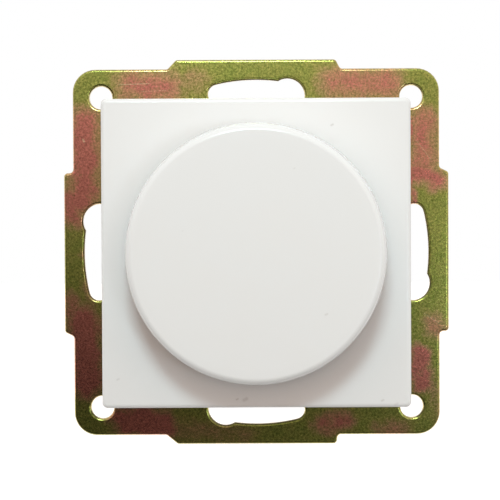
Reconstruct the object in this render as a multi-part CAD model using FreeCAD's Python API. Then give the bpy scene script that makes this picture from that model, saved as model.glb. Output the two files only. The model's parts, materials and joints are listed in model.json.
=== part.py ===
import FreeCAD, Part
import math
import os

# Flush-mounted rotary dimmer insert, in millimetres.
# The origin is on the knob's axis, in the plane of the support plate's back face.
# The front looks along -Y, +X is to the right as seen from the front, and +Z is up.
# The wall is at y = 0, and everything with a positive y sits inside the wall box.

# Support plate: one punched steel blank with four edge tabs
plate_side = 67.6
plate_thickness = 1.2
plate_corner_r = 4.2
tab_width = 29.4
tab_reach = 1.7
tab_rounding = 0.7
punch_roll = 0.4
# How far each tab's root spreads past its tip, as (start, end) clockwise, for the top, right, bottom and left
tab_flares = ((1.6, 0.9), (0.8, 0.1), (0.2, 2.1), (0.8, 0.1))
corner_hole_pitch = 57.2
corner_hole_r = 2.1
box_screw_pitch = 60.0
slot_width = 3.6
slot_tail_deg = 13.5
keyhole_r = 3.2
keyhole_deg = 11.4
keyhole_inset = 0.6
screw_clearance = 0.1

# Centre plate: the square white moulding round the knob
cover_side = 55.0
cover_height = 11.0
cover_corner_r = 1.0
cover_edge_r = 0.7
cover_wall = 1.8
cover_face = 2.0
cover_skirt = 8.0
well_r = 13.0
well_wall = 1.5
well_floor = 2.0
seat_tube_wall = 2.0
nut_spanner_gap = 0.5
seat_nib_r = 0.8
seat_nib_length = 0.9
cover_rib = 1.2
cover_rib_depth = 5.0
well_floor_gap = 1.0

# Knob
knob_base_r = 23.1
knob_top_r = 22.1
knob_height = 10.0
knob_edge_r = 1.2
knob_wall = 2.0
knob_face = 2.2
knob_hub_wall = 2.4
knob_rib = 1.2
knob_rib_depth = 4.5
knob_rib_count = 6
knob_gap = 1.8
clip_thickness = 0.4
clip_bow = 0.35
clip_length = 7.0
clip_width = 3.6
clip_inset = 0.5
knob_hub_gap = 0.7

# Shaft and threaded bush
shaft_r = 3.0
shaft_flat = 1.5
shaft_tail_r = 2.5
shaft_tail_flat = 1.8
shaft_groove_r = 2.0
shaft_chamfer = 0.5
shaft_end_gap = 0.5
running_clearance = 0.05
bush_r = 5.0
bush_flange_r = 6.4
bush_flange = 0.8
bush_proud = 0.4
nut_flats = 14.0
nut_thickness = 2.5
washer_thickness = 0.6
washer_ring_r = 6.4
washer_teeth = 12
washer_tooth_r = 7.6
washer_tooth_root = 0.6
washer_tooth_tip = 0.45
ring_thickness = 0.6
ring_r = 4.6
ring_mouth = 3.3
ring_web = 1.6
ring_rim = 0.8

# Potentiometer
push_travel = 1.5
pot_r = 8.5
pot_wall = 0.6
pot_front_wall = 0.8
rotor_gap = 0.2
rotor_rim_gap = 1.3
rotor_thickness = 1.5
rotor_rim = 2.7
rotor_hub_length = 0.95
stop_width_deg = 22.0
stop_lug_gap = 0.35
stop_clearance = 0.25
wiper_thickness = 0.2
wiper_width = 2.0
wiper_track_inset = 1.0
wiper_foot_length = 0.8
wiper_tip_length = 0.4
track_thickness = 1.2
track_lug_width = 12.0
track_lug_reach = 3.0
tag_pitch = 4.0
tag_width = 1.2
tag_thickness = 0.4
tag_pad = 1.6

# Push switch behind the potentiometer
switch_inset = 2.0
switch_wall = 1.0
switch_corner_r = 1.6
switch_depth = 7.4
plunger_play = 1.5
plunger_thickness = 2.0
plunger_start = 1.0
plunger_stem_r = 1.5
plunger_stem = 1.6
plunger_corner_r = 1.0
contact_spring_gap = 0.8
contact_margin = 0.2
socket_depth = 0.8
bridge_play = 0.9
bridge_width = 2.0
bridge_thickness = 0.4
contact_gap = 0.1
spring_wire_r = 0.18
spring_turns = 3.0
spring_steps = 10
spring_r = 2.2
spring_gap = 0.02
bridge_boss_margin = 0.5

# Circuit board and what stands on it
board_thickness = 1.6
board_clearance = 0.4
lead_width = 0.6
tag_stub = 0.8
standoff = 0.3
component_chamfer = 0.5
choke_x = -12.9
choke_z = 12.9
core_r = 7.0
core_bore_r = 3.2
core_height = 6.0
winding_wire = 0.8
winding_turns = 16
winding_sector_deg = 300.0
winding_gap = 0.1
film_x = 16.2
film_z = 3.7
film_width = 6.4
film_length = 14.6
film_height = 12.0
film_lead_pitch = 10.0
timing_x = -2.0
timing_z = 15.0
timing_width = 3.2
timing_length = 7.0
timing_height = 6.5
timing_lead_pitch = 5.0
resistor_x = -14.6
resistor_zs = (-5.0, -9.5)
resistor_r = 1.15
resistor_length = 6.2
resistor_span = 9.0
diac_x = 10.4
diac_z = 15.5
diac_r = 0.95
diac_length = 3.8
diac_span = 6.4
trimmer_x = 4.6
trimmer_z = 15.0
trimmer_side = 6.6
trimmer_height = 4.5
trimmer_rotor_r = 2.2
trimmer_rotor_proud = 1.1
trimmer_rotor_depth = 2.0
trimmer_slot = 0.6
trimmer_slot_depth = 0.8
trimmer_chamfer = 0.8
trimmer_lead_pitch = 4.0
trimmer_access_r = 2.5
fuse_end_gap = 0.5
fuse_tag_gap = 0.08
fuse_y = 7.5
fuse_length = 20.0
fuse_glass_r = 2.4
fuse_glass_wall = 0.5
fuse_cap_r = 2.6
fuse_cap_length = 5.2
fuse_cap_end = 0.6
fuse_fit = 0.02
fuse_wire_r = 0.12
fuse_clip_thickness = 0.4
fuse_clip_width = 4.4
fuse_clip_mouth = 3.4
fuse_clip_stem = 2.0
fuse_clip_inset = 0.4
fuse_window_margin = 0.7

# Triac, bolted flat to the support plate as its heat sink
triac_x = -14.6
triac_wall_gap = 2.4
triac_width = 10.0
triac_tab_thickness = 1.3
triac_tab_above = 2.8
triac_tab_chamfer = 1.0
triac_tab_overlap = 1.0
triac_tab_below = 3.5
triac_body_length = 9.0
triac_body_thickness = 4.5
triac_lead_pitch = 2.54
triac_lead_width = 0.8
triac_lead_thickness = 0.5
triac_lead_height = 2.6
triac_lead_reach = 1.5
pad_thickness = 0.2
pad_margin = 0.3

# Small screws
m3_r = 1.5
m3_head_r = 2.8
m3_head = 1.8
m3_nut_flats = 5.5
m3_nut = 2.4
m3_length = 5.6
tapping_r = 1.35
tapping_head_r = 2.6
tapping_head = 1.7
tapping_length = 7.5
recess_width = 0.7
recess_depth = 1.0

# Moulded rear case
case_side = 46.0
case_corner_r = 10.0
case_wall = 2.0
case_back = 2.0
case_edge = 1.2
case_boss_r = 2.8
case_boss_inset = 5.2
left_boss_inset = 2.3
left_boss_gap = 0.9
ledge_width = 2.0
ledge_reach = 1.6
ledge_x = 6.0
ledge_z = -10.0
vent_count = 7
vent_pitch = 3.6
vent_width = 1.6
vent_start = 4.0
vent_length = 9.0

# Screw terminals between the board and the case's back
terminal_count = 3
terminal_pitch = 9.0
terminal_z = -16.4
cage_width = 5.6
cage_length = 6.0
cage_height = 4.6
cage_wall = 1.0
cage_floor = 0.8
cage_roof = 1.2
terminal_screw_r = 1.45
terminal_screw_length = 2.4
terminal_head_r = 2.3
terminal_head = 1.6
terminal_head_gap = 0.2
terminal_slot = 0.8
terminal_slot_depth = 0.8
terminal_access_r = 2.6
wire_entry_r = 1.7
partition = 1.2
partition_margin = 0.8

# Levels along Y, worked out from the sizes above
plate_front = -plate_thickness
cover_front = plate_front - cover_height
cover_rim = cover_front + cover_skirt
washer_front = plate_front - washer_thickness
bush_nut_front = washer_front - nut_thickness
well_floor_back = bush_nut_front - well_floor_gap
well_floor_front = well_floor_back - well_floor
cover_nut_front = well_floor_front - nut_thickness
bush_front = cover_nut_front - bush_proud
knob_rear = cover_front - knob_gap
knob_front = knob_rear - knob_height
knob_inside = knob_front + knob_face
knob_hub_rear = bush_front - push_travel - knob_hub_gap
flange_back = pot_front_wall + bush_flange
ring_back = flange_back + ring_thickness
rotor_front = ring_back + push_travel + rotor_gap
rotor_back = rotor_front + rotor_thickness
track_front = rotor_back + rotor_hub_length + running_clearance
track_back = track_front + track_thickness
switch_back = track_back + switch_depth
switch_floor = switch_back - switch_wall
plunger_front = track_back + plunger_start
socket_floor = plunger_front + socket_depth
plunger_back = plunger_front + plunger_thickness
bridge_back = plunger_back + bridge_thickness
contact_front = bridge_back + push_travel + contact_gap
board_front = switch_back
board_back = board_front + board_thickness
tag_end = board_back + tag_stub
cage_back = board_back + cage_height
terminal_head_back = cage_back + terminal_head
case_floor = terminal_head_back + terminal_head_gap
case_end = case_floor + case_back

# Places shared by more than one piece
case_half = case_side / 2
case_inner_half = case_half - case_wall
case_inner_r = case_corner_r - case_wall
boss_place = case_inner_half - case_boss_inset
triac_body_reach = triac_tab_below + triac_body_length + triac_lead_reach
triac_screw_z = triac_body_reach + triac_wall_gap - case_inner_half
left_boss_z = triac_screw_z + triac_tab_above + left_boss_gap + case_boss_r
boss_places = (
    (boss_place, boss_place),
    (boss_place, -boss_place),
    (-(case_inner_half - left_boss_inset), left_boss_z),
)
terminal_xs = [(i - (terminal_count - 1) / 2) * terminal_pitch for i in range(terminal_count)]
cover_half = cover_side / 2
seat_tube_inner_r = nut_flats / math.sqrt(3) + nut_spanner_gap
seat_tube_outer_r = seat_tube_inner_r + seat_tube_wall
seat_nib_place = seat_tube_inner_r + seat_tube_wall / 2
pot_inner_r = pot_r - pot_wall
rotor_r = pot_inner_r - rotor_rim_gap
rotor_hub_r = rotor_r - rotor_rim
wiper_track_r = rotor_r - wiper_track_inset
stop_lug_r = pot_inner_r - stop_lug_gap
switch_side = 2 * (pot_r - switch_inset)
switch_inside = switch_side - 2 * switch_wall
plunger_side = switch_inside - 2 * plunger_play
bridge_length = switch_inside - 2 * bridge_play
shaft_front = knob_inside + shaft_end_gap
tag_z = -(pot_r + track_lug_reach / 2)
fuse_clip_r = fuse_cap_r + fuse_fit + fuse_clip_thickness
fuse_x = boss_place - case_boss_r - fuse_end_gap - fuse_length / 2
fuse_z = -(pot_r + track_lug_reach + tag_thickness + fuse_tag_gap + fuse_clip_r)

X = FreeCAD.Vector(1, 0, 0)
Y = FreeCAD.Vector(0, 1, 0)
Z = FreeCAD.Vector(0, 0, 1)
ORIGIN = FreeCAD.Vector(0, 0, 0)


def point(x, y, z):
    return FreeCAD.Vector(x, y, z)


def rod(r, y0, y1, x=0.0, z=0.0):
    """A cylinder along Y from y0 to y1."""
    return Part.makeCylinder(r, y1 - y0, point(x, y0, z), Y)


def pipe(r, bore_r, y0, y1, x=0.0, z=0.0):
    return rod(r, y0, y1, x, z).cut(rod(bore_r, y0 - 1, y1 + 1, x, z))


def block(x0, x1, y0, y1, z0, z1):
    return Part.makeBox(x1 - x0, y1 - y0, z1 - z0, point(x0, y0, z0))


def rounded_block(width, height, r, y0, y1, x=0.0, z=0.0):
    """A block along Y whose section in XZ is a rectangle with round corners."""
    w = width / 2
    h = height / 2
    edges = []
    for i in range(4):
        turn = math.radians(90 * i)
        reach = (w, h) if i % 2 == 0 else (h, w)
        cx = (reach[0] - r) * math.cos(turn) - (reach[1] - r) * math.sin(turn)
        cz = (reach[0] - r) * math.sin(turn) + (reach[1] - r) * math.cos(turn)
        arc = [turn, turn + math.pi / 4, turn + math.pi / 2]
        a, m, b = (point(x + cx + r * math.cos(t), y0, z + cz + r * math.sin(t)) for t in arc)
        if edges:
            edges.append(Part.LineSegment(last, a))
        else:
            first = a
        edges.append(Part.Arc(a, m, b))
        last = b
    edges.append(Part.LineSegment(last, first))
    wire = Part.Wire([e.toShape() for e in edges])
    return Part.Face(wire).extrude(point(0, y1 - y0, 0))


def turned(profile):
    """A solid of revolution about Y, from its (radius, y) outline."""
    outline = [point(r, y, 0) for r, y in profile]
    outline.append(outline[0])
    return Part.Face(Part.makePolygon(outline)).revolve(ORIGIN, Y, 360)


def hexagon(flats, y0, y1, x=0.0, z=0.0):
    """A hexagonal prism along Y, with a corner at +X."""
    r = flats / math.sqrt(3)
    corners = [
        point(x + r * math.cos(math.radians(60 * i)), y0, z + r * math.sin(math.radians(60 * i)))
        for i in range(7)
    ]
    return Part.Face(Part.makePolygon(corners)).extrude(point(0, y1 - y0, 0))


def pan_screw(r, head_r, head, length, x, z, seat):
    """A screw driven along +Y, with a pan head in front of its seat and a cross recess."""
    crown = head_r * 0.7
    shape = turned([
        (0, seat - head), (crown, seat - head), (head_r, seat - head * 0.5), (head_r, seat),
        (r, seat), (r, seat + length), (0, seat + length),
    ])
    for wide, tall in ((head_r * 0.55, recess_width / 2), (recess_width / 2, head_r * 0.55)):
        shape = shape.cut(block(-wide, wide, seat - head - 1, seat - head + recess_depth, -tall, tall))
    shape.translate(point(x, 0, z))
    return shape


def edges_at(shape, test):
    return [e for e in shape.Edges if test(e)]


def along_y(edge):
    """True for a straight edge that runs along Y."""
    a = edge.Vertexes[0].Point
    b = edge.Vertexes[-1].Point
    return abs(a.x - b.x) < 1e-6 and abs(a.z - b.z) < 1e-6 and abs(a.y - b.y) > 1e-6


def flat_at(edge, y):
    """True for an edge that lies in the plane at y."""
    box = edge.BoundBox
    return abs(box.YMin - y) < 1e-6 and abs(box.YMax - y) < 1e-6


def quarter(shape, i):
    """The shape turned clockwise about Y by i quarter turns, as seen from the front."""
    copy = shape.copy()
    copy.rotate(ORIGIN, Y, 90 * i)
    return copy


def edge_tab(start_flare, end_flare):
    """One tab on the top edge, with slanted ends whose corners and roots are rounded."""
    half = tab_width / 2
    root = plate_side / 2
    tip = root + tab_reach
    deep = root - 2 * tab_reach
    outline = [
        (-half - start_flare - tab_reach, deep),
        (-half - start_flare - tab_reach, root),
        (-half - start_flare, root),
        (-half, tip),
        (half, tip),
        (half + end_flare, root),
        (half + end_flare + tab_reach, root),
        (half + end_flare + tab_reach, deep),
    ]
    outline.append(outline[0])
    wire = Part.makePolygon([point(x, plate_front, z) for x, z in outline])
    tab = Part.Face(wire).extrude(point(0, plate_thickness, 0))
    ends = [-half - start_flare, -half, half, half + end_flare]
    r = min(tab_rounding, 0.4 * tab_reach)
    corners = edges_at(tab, lambda e: along_y(e) and any(abs(e.BoundBox.XMin - x) < 1e-4 for x in ends))
    return tab.makeFillet(r, corners)


def keyhole_slot():
    """The top slot: an arc for the box screw's shank, opening into a round hole for its head."""
    mid = box_screw_pitch / 2
    low = plate_front - 1
    high = 1.0
    ring = pipe(mid + slot_width / 2, mid - slot_width / 2, low, high)
    tail = math.radians(slot_tail_deg)
    head = math.radians(keyhole_deg)
    reach = 2 * mid
    wedge = Part.makePolygon([
        point(0, low, 0),
        point(-reach * math.sin(tail), low, reach * math.cos(tail)),
        point(reach * math.sin(head), low, reach * math.cos(head)),
        point(0, low, 0),
    ])
    arc = ring.common(Part.Face(wedge).extrude(point(0, high - low, 0)))
    cap = rod(slot_width / 2, low, high, -mid * math.sin(tail), mid * math.cos(tail))
    hole_place = mid - keyhole_inset
    hole = rod(keyhole_r, low, high, hole_place * math.sin(head), hole_place * math.cos(head))
    return arc.fuse([cap, hole])


def through_plate(r, x, z):
    return rod(r, plate_front - 1, 1.0, x, z)


def support_plate():
    shape = rounded_block(plate_side, plate_side, plate_corner_r, plate_front, 0)
    tabs = [quarter(edge_tab(*flares), i) for i, flares in enumerate(tab_flares)]
    shape = shape.fuse(tabs).removeSplitter()
    half = corner_hole_pitch / 2
    cuts = [through_plate(corner_hole_r, sx * half, sz * half) for sx in (-1, 1) for sz in (-1, 1)]
    cuts += [quarter(keyhole_slot(), i) for i in range(4)]
    shape = shape.cut(cuts)
    roll = min(punch_roll, 0.6 * plate_thickness)
    shape = shape.makeChamfer(roll, edges_at(shape, lambda e: flat_at(e, plate_front)))
    cuts = []
    cuts.append(through_plate(bush_r + screw_clearance, 0, 0))
    cuts += [through_plate(tapping_r + 2 * screw_clearance, x, z) for x, z in boss_places]
    cuts.append(through_plate(m3_r + screw_clearance, triac_x, triac_screw_z))
    cuts.append(through_plate(trimmer_access_r, trimmer_x, trimmer_z))
    nib_hole_r = seat_nib_r + screw_clearance
    cuts += [through_plate(nib_hole_r, side * seat_nib_place, 0) for side in (-1, 1)]
    window = 2 * fuse_window_margin
    window_height = 2 * fuse_cap_r + window
    cuts.append(rounded_block(fuse_length + window, window_height, 1.0, plate_front - 1, 1, fuse_x, fuse_z))
    return shape.cut(cuts)


def centre_plate():
    shape = rounded_block(cover_side, cover_side, cover_corner_r, cover_front, cover_rim)
    edge_r = min(cover_edge_r, 0.9 * cover_corner_r)
    shape = shape.makeFillet(edge_r, edges_at(shape, lambda e: flat_at(e, cover_front)))
    inside = cover_side - 2 * cover_wall
    inside_r = max(0.3, cover_corner_r - cover_wall)
    shape = shape.cut(rounded_block(inside, inside, inside_r, cover_front + cover_face, cover_rim + 1))
    well_outer_r = well_r + well_wall
    shape = shape.fuse(rod(well_outer_r, cover_front + cover_face / 2, well_floor_back))
    for turn in (45, 135):
        rib = block(-cover_half, cover_half, cover_front + cover_face / 2,
                    cover_front + cover_face + cover_rib_depth, -cover_rib / 2, cover_rib / 2)
        rib.rotate(ORIGIN, Y, turn)
        shape = shape.fuse(rib.common(rounded_block(inside + 1, inside + 1, 1.0, cover_front, cover_rim)))
    shape = shape.fuse(rod(seat_tube_outer_r, well_floor_back - well_floor / 2, plate_front))
    nibs = [rod(seat_nib_r, plate_front - 1, plate_front + seat_nib_length, side * seat_nib_place, 0)
            for side in (-1, 1)]
    shape = shape.fuse(nibs)
    shape = shape.cut(rod(well_r, cover_front - 1, well_floor_front))
    shape = shape.cut(rod(seat_tube_inner_r, well_floor_back, plate_front + 1))
    shape = shape.cut(rod(bush_r + 2 * screw_clearance, well_floor_front - 1, well_floor_back + 1))
    return shape.removeSplitter()


def knob():
    shape = turned([(0, knob_front), (knob_top_r, knob_front), (knob_base_r, knob_rear), (0, knob_rear)])
    shape = shape.makeFillet(knob_edge_r, edges_at(shape, lambda e: flat_at(e, knob_front)))
    slope = (knob_base_r - knob_top_r) / knob_height
    inner_top_r = knob_top_r - knob_wall + slope * knob_face
    inner_base_r = knob_base_r - knob_wall
    below = 0.1
    hollow = turned([
        (0, knob_inside), (inner_top_r, knob_inside),
        (inner_base_r + slope * below, knob_rear + below), (0, knob_rear + below),
    ])
    shape = shape.cut(hollow)
    hub_r = shaft_r + knob_hub_wall
    shape = shape.fuse(rod(hub_r, knob_inside - knob_face / 2, knob_hub_rear))
    ribs = []
    for i in range(knob_rib_count):
        rib = block(0, inner_top_r + knob_wall / 2, knob_inside - knob_face / 2,
                    knob_inside + knob_rib_depth, -knob_rib / 2, knob_rib / 2)
        rib.rotate(ORIGIN, Y, 360.0 * i / knob_rib_count)
        ribs.append(rib)
    shape = shape.fuse(ribs)
    bore_r = shaft_r + running_clearance
    bore = rod(bore_r, knob_inside, knob_hub_rear + 1)
    clip_seat = shaft_flat + clip_thickness + clip_bow
    flat = block(-shaft_r * 2, shaft_r * 2, knob_inside - 1, knob_hub_rear + 2, clip_seat, shaft_r * 2)
    return shape.cut(bore.cut(flat)).removeSplitter()


def knob_clip():
    """The bowed leaf spring that wedges the knob's hub on the shaft's flat."""
    start = shaft_front + clip_inset
    end = start + clip_length
    middle = (start + end) / 2
    outer = shaft_flat + clip_thickness + clip_bow
    inner = shaft_flat + clip_bow
    high = Part.Arc(point(0, start, outer), point(0, middle, outer - clip_bow), point(0, end, outer))
    low = Part.Arc(point(0, start, inner), point(0, middle, inner - clip_bow), point(0, end, inner))
    edges = [
        high.toShape(),
        Part.LineSegment(point(0, end, outer), point(0, end, inner)).toShape(),
        low.toShape(),
        Part.LineSegment(point(0, start, inner), point(0, start, outer)).toShape(),
    ]
    leaf = Part.Face(Part.Wire(Part.__sortEdges__(edges))).extrude(point(clip_width, 0, 0))
    leaf.translate(point(-clip_width / 2, 0, 0))
    return leaf


def shaft():
    shape = turned([
        (0, shaft_front), (shaft_r - shaft_chamfer, shaft_front), (shaft_r, shaft_front + shaft_chamfer),
        (shaft_r, flange_back), (shaft_groove_r, flange_back), (shaft_groove_r, ring_back),
        (shaft_tail_r, ring_back), (shaft_tail_r, socket_floor), (0, socket_floor),
    ])
    wide = 2 * shaft_r
    shape = shape.cut(block(-wide, wide, shaft_front - 1, knob_hub_rear, shaft_flat, wide))
    return shape.cut(block(-wide, wide, ring_back, socket_floor + 1, shaft_tail_flat, wide))


def shaft_ring():
    """The snap ring in the shaft's groove, which stops the shaft from being pulled out."""
    bore_r = shaft_groove_r + running_clearance
    shape = pipe(ring_r, bore_r, flange_back, ring_back)
    low = flange_back - 1
    high = ring_back + 1
    shape = shape.cut(block(-ring_mouth / 2, ring_mouth / 2, low, high, 0, ring_r * 2))
    waist = pipe(ring_r - ring_rim, shaft_groove_r + ring_rim, low, high)
    web = ring_web / 2
    windows = [waist.common(quarter(block(web, ring_r, low, high, web, ring_r), i)) for i in (1, 2)]
    return shape.cut(windows)


def pot_bush():
    bore_r = shaft_r + running_clearance
    return turned([
        (bore_r, bush_front), (bush_r, bush_front), (bush_r, pot_front_wall), (bush_flange_r, pot_front_wall),
        (bush_flange_r, flange_back), (bore_r, flange_back),
    ])


def bush_nuts():
    """One nut clamps the bush to the support plate, and the other clamps the centre plate."""
    bore_r = bush_r + running_clearance
    nuts = []
    for front in (bush_nut_front, cover_nut_front):
        back = front + nut_thickness
        nuts.append(hexagon(nut_flats, front, back).cut(rod(bore_r, front - 1, back + 1)))
    return Part.Compound(nuts)


def lock_washer():
    bore_r = bush_r + 2 * running_clearance
    shape = pipe(washer_ring_r, bore_r, washer_front, plate_front)
    half_step = math.pi / washer_teeth
    washer_root_r = (washer_ring_r + bush_r) / 2
    teeth = []
    for i in range(washer_teeth):
        turn = 2 * half_step * i
        root = half_step * washer_tooth_root
        tip = half_step * washer_tooth_tip
        foot = [
            (washer_root_r, turn - root), (washer_tooth_r, turn - tip),
            (washer_tooth_r, turn + tip), (washer_root_r, turn + root),
        ]
        foot.append(foot[0])
        outline = [point(r * math.cos(t), washer_front, r * math.sin(t)) for r, t in foot]
        teeth.append(Part.Face(Part.makePolygon(outline)).extrude(point(0, washer_thickness, 0)))
    return shape.fuse(teeth).removeSplitter()


def sector(r, bore_r, y0, y1, middle_deg, width_deg):
    """A piece of a ring about the knob's axis, centred on an angle from +Z towards +X."""
    low = math.radians(middle_deg - width_deg / 2)
    high = math.radians(middle_deg + width_deg / 2)
    outline = [
        point(0, y0, 0),
        point(2 * r * math.sin(low), y0, 2 * r * math.cos(low)),
        point(2 * r * math.sin(high), y0, 2 * r * math.cos(high)),
        point(0, y0, 0),
    ]
    wedge = Part.Face(Part.makePolygon(outline)).extrude(point(0, y1 - y0, 0))
    return pipe(r, bore_r, y0, y1).common(wedge)


def pot_case():
    """The potentiometer's can, with the inward stop that limits the rotor's turn."""
    shape = pipe(pot_r, bush_r + running_clearance, 0, track_back)
    shape = shape.cut(rod(pot_inner_r, pot_front_wall, track_back + 1))
    stop_r = rotor_r + stop_clearance
    outer = pot_inner_r + pot_wall / 2
    shape = shape.fuse(sector(outer, stop_r, pot_front_wall / 2, rotor_back, 180, stop_width_deg))
    half = track_lug_width / 2 + running_clearance
    return shape.cut(block(-half, half, track_front, track_back + 1, -pot_r - 1, -pot_r / 2))


def wiper_rotor():
    shape = rod(rotor_r, rotor_front, rotor_back)
    shape = shape.fuse(rod(rotor_hub_r, rotor_front, rotor_back + rotor_hub_length))
    shape = shape.fuse(sector(stop_lug_r, rotor_r / 2, rotor_front, rotor_back, 0, stop_width_deg))
    bore = rod(shaft_tail_r + running_clearance, rotor_front - 1, track_back)
    wide = 2 * shaft_tail_r
    flat = block(-wide, wide, rotor_front - 2, track_back + 1, shaft_tail_flat + running_clearance, wide)
    return shape.cut(bore.cut(flat)).removeSplitter()


def wiper_contact():
    """The bent contact leaf on the rotor's back, whose tip runs along the carbon track."""
    foot = rotor_hub_r + running_clearance
    tip = wiper_tip_length / 2
    bend = foot + wiper_foot_length
    back = rotor_back + wiper_thickness
    tip_back = track_front - running_clearance
    outline = [
        (foot, rotor_back), (wiper_track_r + tip, rotor_back), (wiper_track_r + tip, back),
        (bend + 2 * wiper_thickness, back), (wiper_track_r + tip, tip_back), (wiper_track_r - tip, tip_back),
        (bend, back), (foot, back),
    ]
    outline.append(outline[0])
    wire = Part.makePolygon([point(-wiper_width / 2, y, z) for z, y in outline])
    return Part.Face(wire).extrude(point(wiper_width, 0, 0))


def resistor_track():
    """The phenolic disc with the carbon track, and the lug that carries the soldering tags."""
    shape = rod(pot_inner_r - running_clearance, track_front, track_back)
    half = track_lug_width / 2
    reach = pot_r + track_lug_reach
    shape = shape.fuse(block(-half, half, track_front, track_back, -reach, -pot_inner_r / 2))
    shape = shape.cut(rod(shaft_r, track_front - 1, track_back + 1))
    return shape.removeSplitter()


def pot_tags():
    """Three riveted tags on the track's lug, bent back into the circuit board."""
    tags = []
    front = track_front - tag_thickness
    low = tag_z - tag_pad / 2
    for i in (-1, 0, 1):
        x = i * tag_pitch
        pad = block(x - tag_width / 2, x + tag_width / 2, front, track_front, low, tag_z + tag_pad / 2)
        leg = block(x - tag_width / 2, x + tag_width / 2, front, board_front,
                    -pot_r - track_lug_reach - tag_thickness, -pot_r - track_lug_reach)
        foot = block(x - tag_width / 2, x + tag_width / 2, front, track_front,
                     -pot_r - track_lug_reach - tag_thickness, low)
        tags.append(pad.fuse([leg, foot]).removeSplitter())
    return Part.Compound(tags)


def switch_case():
    shape = rounded_block(switch_side, switch_side, switch_corner_r, track_back, switch_back)
    inside_r = max(0.3, switch_corner_r - switch_wall)
    shape = shape.cut(rounded_block(switch_inside, switch_inside, inside_r, track_back - 1, switch_floor))
    return shape.cut([grown(leg) for leg in switch_legs()])


def switch_legs():
    """The straight legs of the two fixed contacts, through the switch's floor and the board."""
    inner = bridge_length / 2 + contact_margin
    legs = []
    for side in (-1, 1):
        near = min(side * inner, side * (inner + tag_thickness))
        legs.append(block(near, near + tag_thickness, contact_front, tag_end, -tag_width / 2, tag_width / 2))
    return legs


def switch_tags():
    """Fixed contacts: a pad behind each end of the bridge, with a leg to the board."""
    tags = []
    for side, leg in zip((-1, 1), switch_legs()):
        inner = side * (spring_r + contact_spring_gap)
        outer = side * (bridge_length / 2 + contact_margin)
        pad = block(min(inner, outer), max(inner, outer), contact_front, contact_front + tag_thickness,
                    -bridge_width / 2, bridge_width / 2)
        tags.append(leg.fuse(pad).removeSplitter())
    return Part.Compound(tags)


def switch_plunger():
    shape = rounded_block(plunger_side, plunger_side, plunger_corner_r, plunger_front, plunger_back)
    shape = shape.fuse(rod(plunger_stem_r, socket_floor, plunger_back + plunger_stem))
    return shape.cut(rod(shaft_tail_r + running_clearance, plunger_front - 1, socket_floor))


def switch_bridge():
    """The moving contact strip that rides behind the plunger."""
    half = bridge_length / 2
    shape = block(-half, half, plunger_back, bridge_back, -bridge_width / 2, bridge_width / 2)
    shape = shape.fuse(rod(spring_r + bridge_boss_margin, plunger_back, bridge_back))
    stem_hole = rod(plunger_stem_r + running_clearance, plunger_back - 1, bridge_back + 1)
    return shape.cut(stem_hole).removeSplitter()


def switch_spring():
    """The return spring, a helix from the bridge to the switch's floor, in short straight steps."""
    start = bridge_back + spring_wire_r + spring_gap
    end = switch_floor - spring_wire_r - spring_gap
    steps = int(spring_turns * spring_steps)
    places = []
    for i in range(steps + 1):
        turn = 2 * math.pi * i / spring_steps
        y = start + (end - start) * i / steps
        places.append(point(spring_r * math.cos(turn), y, spring_r * math.sin(turn)))
    half = spring_wire_r
    corners = [(-half, -half), (half, -half), (half, half), (-half, half), (-half, -half)]
    section = Part.makePolygon([point(spring_r + dr, start + dy, 0) for dr, dy in corners])
    return Part.makePolygon(places).makePipeShell([section], True, False, 1)


def grown(shape):
    """The block round a straight leg, with a running gap on each side."""
    b = shape.BoundBox
    gap = running_clearance
    return block(b.XMin - gap, b.XMax + gap, b.YMin - 1, b.YMax + 1, b.ZMin - gap, b.ZMax + gap)


def circuit_board():
    side = 2 * (case_inner_half - board_clearance)
    corner = case_inner_r - board_clearance
    shape = rounded_block(side, side, corner, board_front, board_back)
    cuts = [rod(case_boss_r + board_clearance, board_front - 1, board_back + 1, x, z) for x, z in boss_places]
    cuts += [grown(leg) for leg in switch_legs()]
    return shape.cut(cuts)


def pin(x, z, top):
    """A lead that ends on the board's front."""
    half = lead_width / 2
    return block(x - half, x + half, top, board_front, z - half, z + half)


def boxed_part(width, length, height, lead_pitch, x, z):
    """A component in a resin box that stands just off the board on its two leads."""
    top = board_front - height
    body = block(x - width / 2, x + width / 2, top, board_front - standoff, z - length / 2, z + length / 2)
    body = body.makeChamfer(component_chamfer, edges_at(body, lambda e: flat_at(e, top)))
    leads = [pin(x, z + side * lead_pitch / 2, board_front - 1) for side in (-1, 1)]
    return body.fuse(leads)


def film_capacitor():
    return boxed_part(film_width, film_length, film_height, film_lead_pitch, film_x, film_z)


def timing_capacitor():
    return boxed_part(timing_width, timing_length, timing_height, timing_lead_pitch, timing_x, timing_z)


def axial(body_r, length, span, x, z, turn):
    """A component lying along X, turned about Y: a round body and a wire bent down to the board."""
    thick = lead_width / 2
    y = board_front - body_r
    body = Part.makeCylinder(body_r, length, point(-length / 2, y, 0), X)
    wire = block(-span / 2, span / 2, y - thick, y + thick, -thick, thick)
    ends = (-span / 2, span / 2)
    legs = [block(end - thick, end + thick, y - thick, board_front, -thick, thick) for end in ends]
    part = body.fuse([wire] + legs).removeSplitter()
    part.rotate(ORIGIN, Y, turn)
    part.translate(point(x, 0, z))
    return part


def resistors():
    return Part.Compound([
        axial(resistor_r, resistor_length, resistor_span, resistor_x, z, 0) for z in resistor_zs
    ])


def diac():
    return axial(diac_r, diac_length, diac_span, diac_x, diac_z, 90)


def choke_core():
    back = board_front - winding_gap - winding_wire
    return pipe(core_r, core_bore_r, back - core_height, back, choke_x, choke_z)


def winding_ends():
    """Where the choke's two wire ends go down to the board."""
    r = core_r + winding_wire / 2
    half = math.radians(winding_sector_deg / 2)
    return [(choke_x + r * math.sin(side * half), choke_z + r * math.cos(half)) for side in (-1, 1)]


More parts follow.
